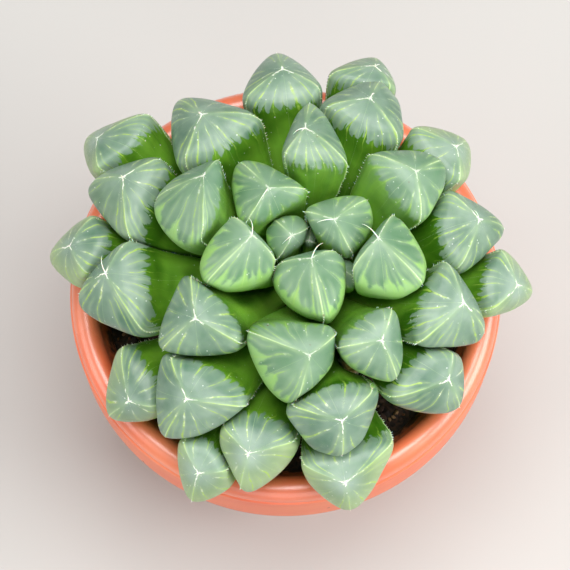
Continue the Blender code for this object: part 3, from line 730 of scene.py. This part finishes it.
def pot_outline():
    """From the middle of the floor up inside, over the lip, down the band, up behind it and down the wall to the
    foot, as (radius, height, rounding)."""
    neck = POT_TOP - BAND_HEIGHT
    lip_foot = POT_TOP - LIP_HEIGHT
    crest = BAND_RADIUS - SEAM_DEPTH - LIP_WIDTH / 2
    floor_top = FOOT_RECESS + FLOOR
    foot_inside = FOOT_RADIUS - FOOT_RING
    slope = (NECK_RADIUS - FOOT_RADIUS) / neck
    turn = np.radians(np.arange(180, -1, -7.5))
    lip = [(crest + LIP_WIDTH / 2 * math.cos(a), lip_foot + LIP_HEIGHT * math.sin(a), 0) for a in turn]
    soft, fine = 0.5 * MM, 0.25 * MM
    return [
        (0, floor_top, 0), (FOOT_RADIUS + slope * floor_top - WALL, floor_top, 2 * soft),
        (NECK_RADIUS - WALL, neck, soft), (NECK_RADIUS - WALL, SOIL_LEVEL, soft), *lip,
        (BAND_RADIUS, lip_foot - SEAM_DEPTH, fine), (BAND_RADIUS, neck + EDGE_BREAK, soft),
        (BAND_RADIUS - EDGE_BREAK, neck, fine), (BAND_RADIUS - BAND_WALL, neck, fine),
        (BAND_RADIUS - BAND_WALL, POT_TOP - POCKET_TOP, soft), (NECK_RADIUS, POT_TOP - POCKET_TOP, soft),
        (NECK_RADIUS, neck, soft), (FOOT_RADIUS + slope * EDGE_BREAK, EDGE_BREAK, fine),
        (FOOT_RADIUS - EDGE_BREAK, 0, fine), (foot_inside, 0, fine), (foot_inside - EDGE_BREAK, FOOT_RECESS, soft),
        (PAD_RADIUS + EDGE_BREAK, FOOT_RECESS, soft), (PAD_RADIUS, 0, fine), (0, 0, 0)]


def spaced(outline, longest):
    """An outline with its long straight runs cut into equal pieces no longer than the given length."""
    runs = []
    for start, end in zip(outline, outline[1:]):
        count = max(1, math.ceil(np.linalg.norm(end - start) / longest))
        runs.append(start + (end - start) * (np.arange(count) / count)[:, None])
    return np.vstack([*runs, outline[-1:]])


def turned(outline, steps):
    """A closed solid of revolution; its outline starts and ends on the axis."""
    angles = 2 * math.pi * np.arange(steps) / steps
    radius, height = outline[1:-1, 0], outline[1:-1, 1]
    rings = np.stack([radius[:, None] * np.cos(angles), radius[:, None] * np.sin(angles),
                      np.broadcast_to(height[:, None], (len(radius), steps))], axis=-1)
    points = np.vstack([rings.reshape(-1, 3), (0, 0, outline[0, 1]), (0, 0, outline[-1, 1])])
    rows = len(radius)
    return points, (tube_faces(rows, steps), fan_faces(steps, 0, rows * steps, True),
                    fan_faces(steps, (rows - 1) * steps, rows * steps + 1, False))


def drain_cutter():
    """Pegs through the floor for the drain holes and blocks across the foot ring for the notches."""
    shapes = []
    top = FOOT_RECESS + FLOOR + FOOT_RECESS
    for angle in 2 * math.pi * (np.arange(DRAIN_HOLES) + 0.5) / DRAIN_HOLES:
        points, faces = turned(np.array([(0, top), (DRAIN_RADIUS, top), (DRAIN_RADIUS, -MM), (0, -MM)]), 32)
        shapes.append((points + DRAIN_CIRCLE * np.array([math.cos(angle), math.sin(angle), 0]), faces))
    for angle in 2 * math.pi * np.arange(FOOT_NOTCHES) / FOOT_NOTCHES + 0.2:
        out = np.array([math.cos(angle), math.sin(angle), 0])
        across = np.array([-math.sin(angle), math.cos(angle), 0])
        reach = FOOT_RING * np.array([-1, 1, 1, -1])[:, None] * out
        turn = NOTCH_WIDTH / 2 * np.array([-1, -1, 1, 1])[:, None] * across
        middle = (FOOT_RADIUS - FOOT_RING / 2) * out
        corners = np.vstack([middle + reach + turn + (0, 0, 0.8 * FOOT_RECESS), middle + reach + turn - (0, 0, MM)])
        shapes.append((corners, (tube_faces(2, 4), np.array([[0, 1, 2, 3], [7, 6, 5, 4]]))))
    points, blocks = joined(shapes)
    return new_object("drain_cutter", new_mesh("drain_cutter", points, blocks))


def make_pot(material):
    """The pot turned again with fine steps and rounded edges, with its drain holes and foot notches cut."""
    outline = spaced(rounded(pot_outline()), 4 * MM)
    pot = add_piece("pot_shell", *turned(outline, POT_STEPS), material, "pot_plastic", ("pot",))
    cutter = drain_cutter()
    modifier = pot.modifiers.new("drains", "BOOLEAN")
    modifier.operation, modifier.solver, modifier.object = "DIFFERENCE", "EXACT", cutter
    bpy.context.view_layer.update()
    cut = bpy.data.meshes.new_from_object(pot.evaluated_get(bpy.context.evaluated_depsgraph_get()))
    pot.modifiers.clear()
    pot.data = cut
    cut.shade_smooth()
    cut.set_sharp_from_angle(angle=math.radians(POT_CREASE))
    bpy.data.objects.remove(cutter)


def pot_material():
    """Moulded polypropylene in terracotta orange: a satin skin with faint flow marks and a few dark flecks, a
    glossier lip, and inside the rim dust from the potting mix with painted shade that darkens the wall towards the
    mix."""
    material, put = new_material("moulded polypropylene")
    place = put("TexCoord").node.outputs["Object"]

    # flow marks 17 mm long and 6 mm high, and flecks of half a millimetre
    flow = put("TexNoise", put("Mapping", place, Scale=(1.0, 1.0, 3.0)), 0.06 / MM, 4)
    base = put("Mix RGBA", put("MapRange", flow, 0.3, 0.7), colour("EE6E46"), colour("F88C64"))
    spot = put("MapRange", put("TexVoronoi", place, 0.26 / MM), 0.10, 0.05)
    rare = put("MapRange", put("TexNoise", place, 0.075 / MM), 0.58, 0.64)
    base = put("Mix RGBA", put("Math MULTIPLY", spot, rare), base, colour("5E2A18"))

    # inside the rim: painted shade that turns the wall a darker orange-brown, and dark clumps of 2.4 mm, dust mixed
    # with painted shade, that thicken towards the potting mix
    x, y, z = put("SeparateXYZ", place).node.outputs
    radius = put("VectorMath LENGTH", put("CombineXYZ", x, y)).node.outputs["Value"]
    inside = put("MapRange", radius, LIP_INSIDE, LIP_INSIDE - 1.0 * MM)
    above_soil = put("MapRange", z, SOIL_LEVEL - 2.0 * MM, SOIL_LEVEL - 1.0 * MM)
    inside = put("Math MULTIPLY", inside, above_soil)
    low = put("MapRange", z, POT_TOP - 2.4 * MM, POT_TOP - 4.8 * MM)
    dust_and_shade = put("TexNoise", place, 0.42 / MM, 5)
    dust_and_shade = put("Math ADD", dust_and_shade, put("Math MULTIPLY", low, 0.38))
    dust_and_shade = put("MapRange", dust_and_shade, 0.62, 0.80)
    dust_and_shade = put("Math MULTIPLY", dust_and_shade, inside)
    # painted shade: the inner wall a darker orange-brown
    base = put("Mix RGBA", put("Math MULTIPLY", inside, 0.55), base, colour("B4552F"))
    # dust and painted shade: dark brown clumps, denser lower down
    base = put("Mix RGBA", dust_and_shade, base, colour("4A2C1C"))

    # the lip is polished by hands; the band and the wall below it keep the mould's satin skin
    lip = put("MapRange", z, POT_TOP - 3.2 * MM, POT_TOP - 1.6 * MM)
    satin = put("Math ADD", put("MapRange", lip, 0, 1, 0.46, 0.26), put("MapRange", flow, 0.3, 0.7, -0.05, 0.06))
    satin = put("Math ADD", satin, put("Math MULTIPLY", dust_and_shade, 0.4))
    ripple = put("TexNoise", place, 0.24 / MM, 3)
    return shade(material, Base_Color=base, Roughness=satin, IOR=1.45, Coat_Weight=lip, Coat_Roughness=0.40,
                 Coat_IOR=1.7, Subsurface_Weight=0.08, Subsurface_Scale=1.2 * MM,
                 Subsurface_Radius=(1.0, 0.4, 0.2),
                 Normal=put("Bump", Height=ripple, Strength=0.18, Distance=0.15 * MM))


# ------------------------------------------------------------------ potting mix
FIT_GAP = 0.3 * MM
SOIL_MOUND = 0.8 * MM
SOIL_SINK = 0.45 * MM         # how far the lumpy surface lies below the soil level
LUMP_LENGTHS = (2 * MM, 9 * MM)
LUMP_STEEPNESS = 0.035        # height of a lump's wave over its length
ROOT_HOLE = ((0.34, 16.3 * MM), (0.66, 9 * MM), (1, 2.6 * MM))    # shares of the root's radius, and depths
SOIL_COLUMNS = 180
SOIL_ROWS = 46
CRUMBS = 1500
CRUMB_LEAST, CRUMB_MORE = 0.30 * MM, 0.75 * MM    # radius of the smallest crumb, and what the largest has more


def soil_height(x, y):
    """Height of the mix: a low mound with lumps, the sum of a dozen crossing waves of 2 to 9 mm."""
    rng = np.random.default_rng(80)
    edge = NECK_RADIUS - WALL
    height = SOIL_LEVEL + SOIL_MOUND * (1 - (np.hypot(x, y) / edge) ** 2)
    for length in np.geomspace(*LUMP_LENGTHS, 12):
        angle, shift = rng.uniform(0, 2 * math.pi, 2)
        along = x * math.cos(angle) + y * math.sin(angle)
        height += LUMP_STEEPNESS * length * np.sin(2 * math.pi / length * along + shift)
    return height - SOIL_SINK


def make_soil(crown, stem_radius, material):
    """The block of potting mix round the root crown: rings that run from the root's hole out to the wall, down
    it and back in under the block."""
    columns = SOIL_COLUMNS
    angles = 2 * math.pi * np.arange(columns) / columns
    edge = NECK_RADIUS - WALL - 0.02 * MM
    bottom = FOOT_RECESS + FLOOR + FIT_GAP
    hole = stem_radius + FIT_GAP
    rim = np.stack([np.cos(angles), np.sin(angles)], axis=-1)
    rings = []
    for share, depth in ROOT_HOLE:
        rings.append(np.column_stack([crown + share * hole * rim, np.full(columns, SOIL_LEVEL - depth)]))
    for share in np.linspace(0, 1, SOIL_ROWS):
        flat = (1 - share) * (crown + hole * rim) + share * edge * rim
        rings.append(np.column_stack([flat, soil_height(flat[:, 0], flat[:, 1])]))
    neck = POT_TOP - BAND_HEIGHT
    low_edge = FOOT_RADIUS + (NECK_RADIUS - FOOT_RADIUS) * bottom / neck - WALL - FIT_GAP
    for radius, z in ((edge, neck), (low_edge, bottom), (0.5 * low_edge, bottom)):
        rings.append(np.column_stack([radius * rim, np.full(columns, z)]))
    rows = len(rings)
    points = np.vstack([np.array(rings).reshape(-1, 3), (*crown, SOIL_LEVEL - ROOT_HOLE[0][1]), (0, 0, bottom)])
    faces = (tube_faces(rows, columns), fan_faces(columns, 0, rows * columns, True),
             fan_faces(columns, (rows - 1) * columns, rows * columns + 1, False))
    add_piece("potting_mix_block", points, faces, material, "potting_mix", ("soil",), smooth_angle=50)


def make_crumbs(leaves, crown, stem_radius, material):
    """Crumbs of bark, peat and grit that lie in the mix: small rough stones, none inside a leaf or the stem.

    A stone is an icosahedron with its corners moved at random; its faces join corners that are one edge apart.
    """
    rng = np.random.default_rng(81)
    golden = (1 + 5 ** 0.5) / 2
    corners = np.array([(a, b * golden, 0) for a in (-1, 1) for b in (-1, 1)])
    corners = np.vstack([corners, np.roll(corners, 1, axis=1), np.roll(corners, 2, axis=1)])
    corners /= np.linalg.norm(corners[0])
    triples = [(i, j, k) for i in range(12) for j in range(i + 1, 12) for k in range(j + 1, 12)
               if max(np.linalg.norm(corners[i] - corners[j]), np.linalg.norm(corners[j] - corners[k]),
                      np.linalg.norm(corners[i] - corners[k])) < 1.1]
    stone = np.array([(i, j, k) if np.linalg.det(corners[[i, j, k]]) > 0 else (i, k, j) for i, j, k in triples])
    edge = NECK_RADIUS - WALL - 0.5 * MM
    radius = edge * np.sqrt(rng.uniform(0.10, 1, CRUMBS))
    angle = rng.uniform(0, 2 * math.pi, CRUMBS)
    size = CRUMB_LEAST + CRUMB_MORE * rng.uniform(0, 1, CRUMBS) ** 2.5
    x, y = (radius - size) * np.cos(angle), (radius - size) * np.sin(angle)
    z = soil_height(x, y) + rng.uniform(-0.2, 0.5, CRUMBS) * size
    middles = np.stack([x, y, z], axis=-1)
    flesh = np.vstack([skin.reshape(-1, 3) for _, skin, _, _ in leaves.values()])
    flesh = flesh[flesh[:, 2] < SOIL_LEVEL + 4 * MM]
    nearest = np.array([np.linalg.norm(flesh - middle, axis=1).min(initial=1.0) for middle in middles])
    clear = (np.hypot(x - crown[0], y - crown[1]) > stem_radius + size) & (nearest > 1.25 * size)
    middles, size = middles[clear], size[clear]
    bumps = rng.uniform(0.7, 1.2, (len(size), 12, 1)) * corners * size[:, None, None]
    bumps *= rng.uniform((0.7, 0.7, 0.5), (1.2, 1.2, 0.9), (len(size), 3))[:, None, :]
    turn = rng.uniform(0, 2 * math.pi, len(size))[:, None]
    bumps = np.stack([bumps[..., 0] * np.cos(turn) - bumps[..., 1] * np.sin(turn),
                      bumps[..., 0] * np.sin(turn) + bumps[..., 1] * np.cos(turn), bumps[..., 2]], axis=-1)
    points = (middles[:, None, :] + bumps).reshape(-1, 3)
    faces = (stone[None, :, :] + 12 * np.arange(len(size))[:, None, None]).reshape(-1, 3)
    piece = add_piece("potting_mix_crumbs", points, (faces,), material, "potting_mix", smooth_angle=30)
    layer = piece.data.attributes.new("kind", "FLOAT", "POINT")
    layer.data.foreach_set("value", np.repeat(rng.uniform(size=len(size)), 12))


def soil_material(name, crumbs):
    """Damp potting mix: near-black peat with brown bark and a few grains of pale grit, rough and dull."""
    material, put = new_material(name)
    place = put("TexCoord").node.outputs["Object"]
    fine = put("TexNoise", place, 1.5 / MM, 5)
    if crumbs:
        kind = put("Attribute", attribute_name="kind").node.outputs["Fac"]
        ramp = put("ValToRGB", kind)
        band = ramp.node.color_ramp
        band.interpolation = "CONSTANT"
        for position, hex_text in ((0.45, "3A2417"), (0.70, "6B4024"), (0.88, "8A6A48"), (0.95, "B9A78C")):
            band.elements.new(position).color = colour(hex_text)
        band.elements[0].color = colour("1C130D")
        base = put("Mix RGBA", put("MapRange", fine, 0.35, 0.65, 0, 0.5), ramp, colour("22160E"))
    else:
        base = put("Mix RGBA", put("MapRange", fine, 0.4, 0.65), colour("150E0A"), colour("40291A"))
    return shade(material, Base_Color=base, Roughness=0.9,
                 Normal=put("Bump", Height=fine, Strength=0.9, Distance=0.35 * MM))


def stem_material():
    """Corky stem: pale green under dry tan scars, matt."""
    material, put = new_material("corky stem")
    place = put("TexCoord").node.outputs["Object"]
    scars = put("TexNoise", put("Mapping", place, Scale=(1.0, 1.0, 4.0)), 0.18 / MM, 4)
    base = put("Mix RGBA", put("MapRange", scars, 0.42, 0.6), colour("8FA05A"), colour("8A6B45"))
    return shade(material, Base_Color=base, Roughness=0.75,
                 Normal=put("Bump", Height=scars, Strength=0.6, Distance=0.4 * MM))


# ------------------------------------------------------------------ setting: floor, light and camera
LAMPS = {                     # square soft lamps: power in watts, width and place in metres
    "overhead": (4.7, 0.42, (0.03, 0.08, 0.75)),
    "left": (1.5, 0.4, (-0.50, -0.12, 0.40)),
    "right": (3.5, 0.4, (0.50, -0.06, 0.42)),
    "front": (1.4, 0.5, (0.05, -0.60, 0.34)),
}
LIT_HEIGHT = 0.06             # the lamps point at the pot's axis at this height
ROOM_LIGHT = 0.13
FLOOR_REACH = 1.5
CAMERA_PLACE = (-0.00007, -0.10303, 0.44650)
CAMERA_TILT = 15              # degrees from straight down
FOCAL_LENGTH, SENSOR_WIDTH = 146.0, 36.0    # mm


def make_setting():
    """A plain pale floor, four soft lamps in a dim room, and the camera."""
    corners = [(FLOOR_REACH * x, FLOOR_REACH * y, 0) for x, y in ((-1, -1), (1, -1), (1, 1), (-1, 1))]
    floor = new_object("floor", new_mesh("floor", corners, [np.array([[0, 1, 2, 3]])]))
    board, _ = new_material("matt painted board")
    floor.data.materials.append(shade(board, Base_Color=colour("BDBBB7"), Roughness=0.8))
    for name, (energy, size, place) in LAMPS.items():
        lamp = bpy.data.lights.new(name, "AREA")
        lamp.energy = energy
        lamp.size = size
        light = new_object(name, lamp)
        light.location = place
        x, y, z = np.array(place) - (0, 0, LIT_HEIGHT)
        light.rotation_euler = (math.acos(z / math.hypot(x, y, z)), 0, math.atan2(y, x) + math.pi / 2)
    world = bpy.data.worlds.new("soft room light")
    world.use_nodes = True
    background = world.node_tree.nodes["Background"]
    background.inputs["Color"].default_value = (0.95, 0.98, 1.0, 1)
    background.inputs["Strength"].default_value = ROOM_LIGHT
    bpy.context.scene.world = world
    bpy.context.scene.view_settings.view_transform = "Standard"
    lens = bpy.data.cameras.new("camera")
    lens.lens = FOCAL_LENGTH
    lens.sensor_width = SENSOR_WIDTH
    camera = new_object("camera", lens)
    camera.location = CAMERA_PLACE
    camera.rotation_euler = (math.radians(CAMERA_TILT), 0, 0)
    bpy.context.scene.camera = camera


# ------------------------------------------------------------------ all together
def main():
    stem_low, stem_high = (np.array(corner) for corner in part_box("stem"))
    crown = 0.5 * (stem_low + stem_high)[:2]
    stem_radius = 0.5 * (stem_high - stem_low)[0]
    flesh = leaf_material()
    leaves = {name: make_leaf(name, crown, flesh, index + 1) for index, name in enumerate(LEAVES)}
    papery = awn_material()
    make_awns(leaves, papery)
    make_teeth(leaves, papery)
    make_pot(pot_material())
    make_soil(crown, stem_radius, soil_material("damp potting mix", False))
    make_crumbs(leaves, crown, stem_radius, soil_material("bark and grit crumbs", True))
    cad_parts["stem"].material_slots[0].material = stem_material()
    make_setting()


main()
